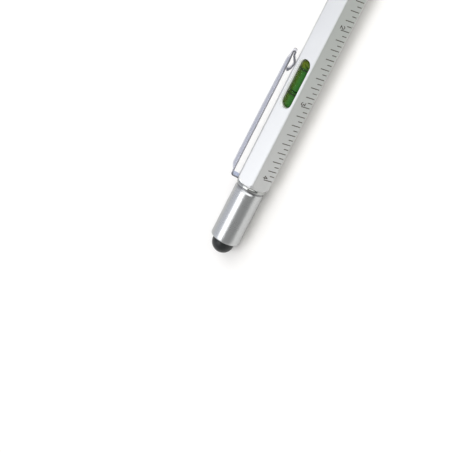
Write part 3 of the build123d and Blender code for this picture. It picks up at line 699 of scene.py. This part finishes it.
def shell(points, rows_meet=True, inward=False):
    """Closed surface of a grid of points: each cell is a face, the last column meets the first, and
    the last row meets the first unless the rows end in poles."""
    rows, columns = points.shape[:2]
    index = np.arange(rows * columns).reshape(rows, columns)
    index = np.hstack([index, index[:, :1]])
    if rows_meet:
        index = np.vstack([index, index[:1]])
    faces = np.stack([index[:-1, :-1], index[1:, :-1], index[1:, 1:], index[:-1, 1:]], axis=-1)
    mesh = bpy.data.meshes.new("shell")
    mesh.from_pydata(points.reshape(-1, 3), [], faces.reshape(-1, 4))
    work = bmesh.new()
    work.from_mesh(mesh)
    bmesh.ops.remove_doubles(work, verts=work.verts, dist=MERGE_DISTANCE)
    bmesh.ops.recalc_face_normals(work, faces=work.faces)
    if inward:
        bmesh.ops.reverse_faces(work, faces=work.faces)
    work.to_mesh(mesh)
    work.free()
    return mesh


def add_piece(context, name, node, shells, finish=None, sharp=35):
    """One object of closed shells in place of a CAD node. It rides on the node's body and takes its
    finish. A second finish, where one is given, goes to every shell but the first."""
    mesh = bpy.data.meshes.new(name)
    work = bmesh.new()
    counts = []
    for part in shells:
        work.from_mesh(part)
        counts.append(len(work.faces))
        bpy.data.meshes.remove(part)
    work.to_mesh(mesh)
    work.free()
    mesh.shade_smooth()
    mesh.set_sharp_from_angle(angle=math.radians(sharp))
    slot = slot_of(node)
    mesh.materials.append(bpy.data.materials[slot + "_finish"])
    if finish:
        mesh.materials.append(finish)
        marks = np.zeros(counts[-1], np.int32)
        marks[counts[0]:] = 1
        mesh.polygons.foreach_set("material_index", marks)
    piece = bpy.data.objects.new(name, mesh)
    context.scene.collection.objects.link(piece)
    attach(piece, body_of(node))
    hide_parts(node)
    return piece


class PEN_OT_finishes(bpy.types.Operator):
    """Gives every CAD node the finish of its material slot"""
    bl_idname = "pen.finishes"
    bl_label = "Finishes"

    def execute(self, context):
        made = {}
        for slot, build in finishes(context.scene.pen_colours, context.scene.pen_marks).items():
            made[slot] = material(slot + "_finish", build)
        for node, thing in NODES.items():
            thing.data.materials[0] = made[slot_of(node)]
        return {"FINISHED"}


class PEN_OT_cap(bpy.types.Operator):
    """Turned stylus cap with its rounded rim, and the thread bush in its mouth"""
    bl_idname = "pen.cap"
    bl_label = "Cap"

    def execute(self, context):
        size = context.scene.pen_sizes
        tip, mouth = ends("stylus_cap")
        radius = outside("stylus_cap")
        bore = radius - size.cap_wall
        floor = tip + size.cap_end_wall
        hole = size.dome_radius + size.dome_gap
        outline = rounded([
            (mouth, bore, 0),
            (mouth, radius - size.cap_step, size.edge),
            (mouth - size.cap_chamfer, radius, size.edge),
            (tip, radius, size.cap_rim),
            (tip, hole, size.edge),
            (floor, hole, 0),
            (floor, bore, 0),
        ])
        add_piece(context, "cap_shell", "stylus_cap", [shell(turned(outline))])

        # The inner thread: the bore grows outwards by the thread's depth, once along each pitch
        start, end = ends("cap_thread_bush")
        crest = size.neck_radius + size.thread_gap
        station = np.linspace(start, end, 90)
        outline = np.concatenate([
            np.stack([station, crest + 0 * station], axis=-1),
            [[end, bore], [start, bore]],
        ])
        along, pitch = outline[:, :1], size.thread_pitch
        wave = thread(along, pitch) * fade(along, start, end, pitch)
        wave[-2:] = 0
        radii = outline[:, 1:] + wave * size.thread_depth
        add_piece(context, "cap_thread", "cap_thread_bush", [shell(turned(outline, radii=radii))])
        return {"FINISHED"}


def thread(station, pitch, columns=160):
    """Depth of a helical thread, from 0 at the crest to 1 at the root: a triangle wave of the station
    over the pitch less the share of a turn, with narrow flats at its crest and root."""
    share = np.linspace(0, 1, columns, endpoint=False)
    phase = np.mod(station / pitch - share, 1.0)
    slope = np.abs(2 * phase - 1) - THREAD_FLAT_SHARE
    return np.clip(slope / (1 - 2 * THREAD_FLAT_SHARE), 0, 1)


def fade(station, start, end, run):
    """1 between two stations and 0 beyond them, with a soft step of the given run at each."""
    share = np.clip(np.minimum(station - start, end - station) / run, 0, 1)
    return share * share * (3 - 2 * share)


class PEN_OT_dome(bpy.types.Operator):
    """Hollow rubber dome of the stylus, with the flange inside the cap"""
    bl_idname = "pen.dome"
    bl_label = "Rubber dome"

    def execute(self, context):
        size = context.scene.pen_sizes
        tip, flange_end = ends("stylus_tip")
        radius = size.dome_radius
        inner = radius - size.dome_wall
        floor = flange_end - size.dome_flange
        middle = tip + radius
        flange = outside("stylus_tip")
        side = rounded([
            (middle, radius, 0),
            (floor, radius, 0),
            (floor, flange, size.edge),
            (flange_end, flange, size.edge),
            (flange_end, inner, size.edge),
            (middle, inner, 0),
        ], closed=False)
        outline = np.concatenate([
            arc(middle, 0, radius, 180, 90, 40),
            side,
            arc(middle, 0, inner, 90, 180, 24),
        ])
        add_piece(context, "rubber_dome", "stylus_tip", [shell(turned(outline), rows_meet=False)])
        return {"FINISHED"}


class PEN_OT_rings(bpy.types.Operator):
    """The two bright rings, each with a rounded outside"""
    bl_idname = "pen.rings"
    bl_label = "Rings"

    def execute(self, context):
        size = context.scene.pen_sizes
        for name, node, inner in (("bead_ring", "collar_ring", size.neck_radius + size.collar_gap),
                                  ("nose_bead_ring", "nose_ring", size.nose_spigot + size.spigot_gap)):
            start, end = ends(node)
            radius = outside(node)
            outline = rounded([(start, inner, 0), (start, radius, size.bead), (end, radius, size.bead),
                               (end, inner, 0)], steps=14)
            add_piece(context, name, node, [shell(turned(outline, 200))])
        return {"FINISHED"}


class PEN_OT_insert(bpy.types.Operator):
    """Brass insert: plug, helical thread on the neck, hexagonal socket and magnet pocket"""
    bl_idname = "pen.insert"
    bl_label = "Threaded insert"

    def execute(self, context):
        size = context.scene.pen_sizes
        columns = 180
        neck_end, plug_end = ends("threaded_insert")
        shoulder = neck_end + size.neck_length + size.notch_depth
        magnet_start = ends("bit_magnet")[0]
        pocket = outside("bit_magnet") + size.magnet_gap
        bush_start, bush_end = ends("cap_thread_bush")
        thread_end = neck_end + bush_end - bush_start
        plug = outside("threaded_insert")
        back = rounded([(plug_end, 0, 0), (plug_end, plug, size.edge), (shoulder, plug, 0),
                        (shoulder, size.neck_radius, 0), (thread_end, size.neck_radius, 0)],
                       closed=False)
        station = np.linspace(thread_end, neck_end, 100)
        neck = np.stack([station, size.neck_radius + 0 * station], axis=-1)
        flats = size.socket_flats / 2
        bore = np.array([(neck_end, flats), (neck_end + size.edge, flats), (magnet_start, flats)])
        pocket_end = plug_end - size.socket_end_wall
        end = np.array([(magnet_start, pocket), (pocket_end, pocket), (pocket_end, 0)])
        outline = np.concatenate([back, neck, bore, end])

        # The socket's radius is its half width over the cosine of the angle from the nearest flat
        angle = np.linspace(0, FULL_TURN, columns, endpoint=False)
        sixth = FULL_TURN / 6
        hexagon = 1 / np.cos(np.mod(angle, sixth) - sixth / 2)
        radii = outline[:, 1:] + 0 * angle
        first, last = len(back) + len(neck), len(back) + len(neck) + len(bore)
        radii[first:last] *= hexagon
        wave = thread(station[:, None], size.thread_pitch, columns)
        wave *= fade(station[:, None], neck_end, thread_end, size.thread_pitch)
        radii[len(back):first] -= wave * size.thread_depth
        add_piece(context, "threaded_neck", "threaded_insert",
                  [shell(turned(outline, columns, radii=radii), rows_meet=False)])
        return {"FINISHED"}


class PEN_OT_nose(bpy.types.Operator):
    """Twist grip: grooved band, arched taper, bore and spigot"""
    bl_idname = "pen.nose"
    bl_label = "Nose"

    def execute(self, context):
        size = context.scene.pen_sizes
        spigot_start, nose_end = ends("nose_cone")
        nose_start = ends("nose_ring")[1] + size.nose_gap
        radius = outside("nose_cone")
        seat = ends("snap_ring")[1]
        seat_radius = outside("drive_tube") - size.drive_wall
        band_end = nose_start + size.nose_band
        grooves = []
        for i in range(size.groove_count):
            start = nose_start + size.groove_pitch * (i + 1)
            low = radius - size.groove_depth
            soft = size.groove_depth / 3
            grooves += [(start, radius, soft), (start, low, soft), (start + size.groove_width, low, soft),
                        (start + size.groove_width, radius, soft)]
        front = rounded([
            (spigot_start, size.nose_bore, 0),
            (spigot_start, seat_radius, size.edge),
            (seat, seat_radius, 0),
            (seat, size.nose_spigot, 0),
            (nose_start, size.nose_spigot, 0),
            (nose_start, radius, size.cap_rim),
            *grooves,
            (band_end, radius, 0),
        ], closed=False)

        # The taper is a circle that starts level at the band's end and passes through the tip
        run, drop = nose_end - band_end, radius - size.nose_tip
        bow = (run * run + drop * drop) / (2 * drop)
        reach = math.degrees(math.asin(run / bow))
        taper = arc(band_end, radius - bow, bow, 90, 90 - reach, 40)
        lip = rounded([
            (*taper[-2], 0),
            (nose_end, size.nose_tip, size.edge / 2),
            (nose_end, size.nose_bore, size.edge),
            (spigot_start, size.nose_bore, 0),
        ], closed=False)
        outline = np.concatenate([front, taper[1:-2], lip])
        add_piece(context, "nose_grip", "nose_cone", [shell(turned(outline))])
        return {"FINISHED"}


class PEN_OT_clip(bpy.types.Operator):
    """Pocket clip: one strip, bent at the foot, crowned, curled at the tip and bowed back as a tongue"""
    bl_idname = "pen.clip"
    bl_label = "Clip"

    def execute(self, context):
        size = context.scene.pen_sizes
        start, tip = ends("clip")
        shells = [shell(on_clip_flat(grid), rows_meet=False)
                  for grid in (clip_strip(size, start, tip), clip_tab(size, start))]
        add_piece(context, "clip_strip", "clip", shells, sharp=50)
        return {"FINISHED"}


def clip_strip(size, start, tip):
    """The strip, as if it lay on the top flat: a section carried along its middle line, square to it. The
    section is a thin bar with rounded edges. Its broad sides are pressed up in the middle, by the height
    of the crown or the hollow times 1 less the square of the way across, as a share of the pressed half
    width."""
    half = size.clip_thickness / 2
    line = clip_line(size, start + half, tip)
    ahead = np.gradient(line, axis=0)
    ahead /= np.linalg.norm(ahead, axis=1, keepdims=True)
    out = np.stack([-ahead[:, 1], ahead[:, 0]], axis=-1)
    crown, hollow = clip_press(size, line, start, tip)
    side = size.clip_width / 2
    edge = size.clip_edge
    bar = rounded([(-side, -half, edge), (side, -half, edge), (side, half, edge), (-side, half, edge)],
                  steps=4, between=16)
    across, depth = bar[:, 0], bar[:, 1]
    upper = depth > 0
    share = across / side / np.where(upper, CROWN_WIDTH_SHARE, HOLLOW_WIDTH_SHARE)
    press = np.where(upper, crown[:, None], hollow[:, None]) * (1 - share ** 2).clip(0)
    lift = depth + press
    x = line[:, :1] + out[:, :1] * lift
    z = line[:, 1:] + out[:, 1:] * lift
    return ended(np.stack([x, across + 0 * z, z], axis=-1))


def clip_tab(size, start):
    """The tab round the neck: a flat sector of a ring, whose radius times the sine and the cosine of an
    angle is the way across and up."""
    end = start + size.clip_thickness
    inner, outer = size.neck_radius + size.tab_gap, outside("threaded_insert") + size.tab_reach
    sweep = math.asin(size.tab_width / 2 / outer)
    angle = np.linspace(-sweep, sweep, 25)[:, None]
    plate = rounded([(start, inner, 0), (end, inner, 0), (end, outer, 0), (start, outer, 0)],
                    steps=2, between=1)
    station, radius = plate[:, 0], plate[:, 1]
    return ended(np.stack([station + 0 * angle, radius * np.sin(angle), radius * np.cos(angle)], axis=-1))


def clip_line(size, foot, tip):
    """Middle line of the clip's strip, from inside the barrel to the tongue's free end: rows of station
    and height over the axis. It is straight runs with an arc at each corner."""
    half = size.clip_thickness / 2
    top = FLAT_HEIGHT + size.clip_height - half

    # The bow is the arc between two runs of the tongue, whose lines cross beneath it. It touches each of
    # them at a reach from the crossing: its radius times the tangent of half the turn
    bow, slant = size.tongue_bow, TONGUE_SLANT
    low = tip - size.tongue_contact
    reach = bow * math.tan((slant + TONGUE_RISE) / 2)
    crossing = low + bow * math.sin(slant) - reach * math.cos(slant)
    lowest = FLAT_HEIGHT + size.tongue_gap + half
    contact = lowest + bow * (1 - math.cos(slant)) - reach * math.sin(slant)
    neck = crossing + (FLAT_HEIGHT + size.clip_neck - contact) / math.tan(slant)

    # The heel is where the run from the bow meets the steeper run down from the free end
    free_end, end_height = low - size.tongue_length, FLAT_HEIGHT + size.tongue_end
    steep, rise = math.tan(TONGUE_SLOPE), math.tan(TONGUE_RISE)
    heel = (end_height - contact + free_end * steep - crossing * rise) / (steep - rise)
    return rounded([
        (foot, size.neck_radius + size.clip_thickness, 0),
        (foot, top, size.clip_bend),
        (tip - size.clip_flare, top - size.clip_fall, size.clip_flare_radius),
        (tip - half, FLAT_HEIGHT + size.clip_curl_top, size.clip_curl),
        (tip - half, FLAT_HEIGHT + size.clip_curl_foot, size.clip_curl),
        (neck, FLAT_HEIGHT + size.clip_neck, size.clip_neck_radius),
        (crossing, contact, bow),
        (heel, contact + (crossing - heel) * rise, size.tongue_heel),
        (free_end, end_height, 0),
    ], steps=14, between=60, closed=False)


def clip_press(size, line, start, tip):
    """Heights of the crown and depths of the hollow along the strip's middle line, up to the curled tip.
    Each goes straight from one station's height to the next, and is softened by taking the mean over
    nearby stations."""
    rise = start + size.clip_crown_start
    full = rise + size.clip_crown_run
    flare, end = tip - size.clip_flare, tip - size.clip_crown_end
    nearby = line[:, :1] + np.linspace(-size.clip_crown_soft, size.clip_crown_soft, 11)
    on_strip = np.arange(len(line)) < line[:, 0].argmax()
    crown = np.interp(nearby, [rise, full, full + size.clip_crown_level, flare, end],
                      [0, size.clip_crown, size.clip_crown, size.clip_flare_crown, 0])
    hollow = np.interp(nearby, [rise, full, flare, end], [0, 1, FLARE_HOLLOW_SHARE, 0]) * size.clip_hollow
    return crown.mean(axis=1) * on_strip, hollow.mean(axis=1) * on_strip


def on_clip_flat(points):
    """Turns a shape about the pen's axis from the top flat onto the clip's flat: the new way across is y
    times the cosine of the lean plus z times its sine, and the new way up is z times the cosine less y
    times the sine."""
    x, y, z = points[..., 0], points[..., 1], points[..., 2]
    cos, sin = math.cos(CLIP_LEAN), math.sin(CLIP_LEAN)
    return np.stack([x, y * cos + z * sin, AXIS_HEIGHT - y * sin + z * cos], axis=-1)


class PEN_OT_level(bpy.types.Operator):
    """Spirit level: clear capsule, dyed liquid with its bubble, and two black rings"""
    bl_idname = "pen.level"
    bl_label = "Spirit level"

    def execute(self, context):
        scene = context.scene
        size = scene.pen_sizes
        low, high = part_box("level_vial")
        middle, radius = (low.x + high.x) / 2, (high.y - low.y) / 2
        height, run = (low.z + high.z) / 2, high.x - low.x
        glass = turned(capsule(middle, radius, run), 240, height)
        vial = add_piece(context, "vial_capsule", "level_vial", [shell(glass, rows_meet=False)])

        # The bubble floats under the top of the liquid, and its wall takes a finish of its own
        inner = radius - size.vial_wall
        fill = turned(capsule(middle, inner, run - 2 * size.vial_wall), 240, height)
        bubble_height = height + inner - size.bubble_radius - size.bubble_gap
        bubble_middle = high.x - radius - size.bubble_length / 2 + size.bubble_reach
        outline = capsule(bubble_middle, size.bubble_radius, size.bubble_length)
        bubble = turned(outline, 160, bubble_height)
        # The bubble's wall has the liquid's painted light and shade too
        wall = material("bubble_wall_finish", dyed_liquid(scene.pen_colours, scene.pen_marks, 1.06))
        shells = [shell(fill, rows_meet=False), shell(bubble, rows_meet=False, inward=True)]
        liquid = add_piece(context, "vial_liquid", "level_liquid", shells, finish=wall)

        # Neither the capsule nor the liquid casts a shadow, because light passes through them
        for clear in (vial, liquid):
            clear.visible_shadow = False

        # The rings are narrow bands, partly sunk into the capsule's skin
        first, last = ends("level_lines")
        sunk, outer = radius - size.line_sunk, radius + size.line_proud
        rings = []
        for start in (first, last - size.line_width):
            end = start + size.line_width
            outline = rounded([(start, sunk, 0), (start, outer, size.line_proud),
                               (end, outer, size.line_proud), (end, sunk, 0)], steps=3, between=2)
            rings.append(shell(turned(outline, 96, height)))
        add_piece(context, "vial_lines", "level_lines", rings)
        return {"FINISHED"}


class PEN_OT_stage(bpy.types.Operator):
    """Floor, soft lamps, pale surroundings and the photograph's camera"""
    bl_idname = "pen.stage"
    bl_label = "Stage"

    def execute(self, context):
        scene = context.scene
        light = scene.pen_light
        pale_floor(scene, light)
        soft_lamp(scene, "overhead_lamp", OVERHEAD_AIM, OVERHEAD_DISTANCE, OVERHEAD_SIDES, light.key)
        soft_lamp(scene, "writing_end_lamp", FILL_AIM, FILL_DISTANCE, FILL_SIDES, light.fill)
        surroundings(scene, light)
        photo_camera(scene)
        return {"FINISHED"}


def pale_floor(scene, light):
    """One large square under the pen, of a matt and pale material."""
    far = FLOOR_REACH
    mesh = bpy.data.meshes.new("floor")
    mesh.from_pydata([(-far, -far, 0), (far, -far, 0), (far, far, 0), (-far, far, 0)], [], [(0, 1, 2, 3)])
    mesh.materials.append(material("pale_floor", lambda root: {
        "Base Color": shade((light.floor,) * 3, FLOOR_SHARES),
        "Roughness": 0.9,
        "Specular IOR Level": 0.1,
    }))
    floor = bpy.data.objects.new("floor", mesh)
    scene.collection.objects.link(floor)


def soft_lamp(scene, name, aim, distance, sides, radiance):
    """A rectangular area lamp that looks at the pen from a direction. Its power is its radiance times pi
    times its area."""
    data = bpy.data.lights.new(name, "AREA")
    data.shape = "RECTANGLE"
    data.size, data.size_y = sides
    data.energy = radiance * math.pi * sides[0] * sides[1]
    lamp = bpy.data.objects.new(name, data)
    scene.collection.objects.link(lamp)
    aim = Vector(aim).normalized()
    lamp.location = aim * distance + Vector((0, 0, AXIS_HEIGHT))
    lamp.rotation_mode = "QUATERNION"
    lamp.rotation_quaternion = aim.to_track_quat("Z", "Y")


def surroundings(scene, light):
    """The world: a sky over a horizon, both palest on the clip's side. Elsewhere the horizon is dark,
    except towards the cap's end, where all of it is brightest."""
    world = bpy.data.worlds.new("surroundings")
    scene.world = world
    world.use_nodes = True
    tree = world.node_tree
    tree.nodes.clear()
    root = Wire(tree)
    towards = root.node("TexCoord", output="Generated")
    along, side, height = [root.node("SeparateXYZ", {"Vector": towards}, output=axis) for axis in "XYZ"]
    sky, clip_side, horizon = [(radiance,) * 3 for radiance in (light.sky, light.side, light.horizon)]
    above = side.smooth(*SKY_ACROSS).mix(shade(sky), shade(clip_side, SIDE_SHARES))
    low = along.smooth(*HORIZON_ALONG).mix(shade(horizon, DARK_HORIZON_SHARES), shade(horizon))
    low = side.smooth(*HORIZON_ACROSS).mix(low, shade(clip_side))
    colour = height.smooth(*HORIZON_UP).mix(above, low)
    level = along.smooth(*LEVEL_ALONG) * LEVEL_RISE + LOWEST_LEVEL
    root.node("OutputWorld", {"Surface": root.node("Background", {"Color": colour, "Strength": level})})


def photo_camera(scene):
    """The camera from which the pen looks as in the photograph, and colours shown as they are."""
    data = bpy.data.cameras.new("photo_camera")
    data.lens = CAMERA_LENS
    data.sensor_width = SENSOR_WIDTH
    data.clip_start = NEAREST_VIEW
    data.clip_end = FARTHEST_VIEW
    camera = bpy.data.objects.new("photo_camera", data)
    scene.collection.objects.link(camera)
    forward = Vector(CAMERA_FORWARD).normalized()
    right = forward.cross(Vector(CAMERA_UP)).normalized()
    turn = Matrix((right, right.cross(forward), -forward)).transposed()
    camera.matrix_world = Matrix.Translation(CAMERA_PLACE) @ turn.to_4x4()
    scene.camera = camera
    scene.view_settings.view_transform = "Standard"


OPERATORS = (PEN_OT_finishes, PEN_OT_cap, PEN_OT_dome, PEN_OT_rings, PEN_OT_insert, PEN_OT_nose,
             PEN_OT_clip, PEN_OT_level, PEN_OT_stage)
GROUPS = {
    "pen_sizes": PenSizes,
    "pen_marks": PenMarks,
    "pen_colours": PenColours,
    "pen_light": PenLight,
}


class PEN_PT_panel(bpy.types.Panel):
    """A button for each operator, and all the sizes, marks, colours and lights"""
    bl_idname = "PEN_PT_panel"
    bl_label = "Multifunction pen"
    bl_space_type = "VIEW_3D"
    bl_region_type = "UI"
    bl_category = "Pen"

    def draw(self, context):
        for operator in OPERATORS:
            self.layout.operator(operator.bl_idname)
        for group in GROUPS:
            values = getattr(context.scene, group)
            box = self.layout.box()
            for name in values.__annotations__:
                box.prop(values, name)


CLASSES = (*GROUPS.values(), *OPERATORS, PEN_PT_panel)


def register():
    """Registers the classes, and gives each scene its four groups of values."""
    for cls in CLASSES:
        bpy.utils.register_class(cls)
    for name, group in GROUPS.items():
        setattr(bpy.types.Scene, name, PointerProperty(type=group))


def unregister():
    """Takes away what register added."""
    for name in GROUPS:
        delattr(bpy.types.Scene, name)
    for cls in reversed(CLASSES):
        bpy.utils.unregister_class(cls)


def main():
    """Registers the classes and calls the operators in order."""
    register()
    for operator in OPERATORS:
        group, name = operator.bl_idname.split(".")
        getattr(getattr(bpy.ops, group), name)()


if __name__ == "__main__":
    main()
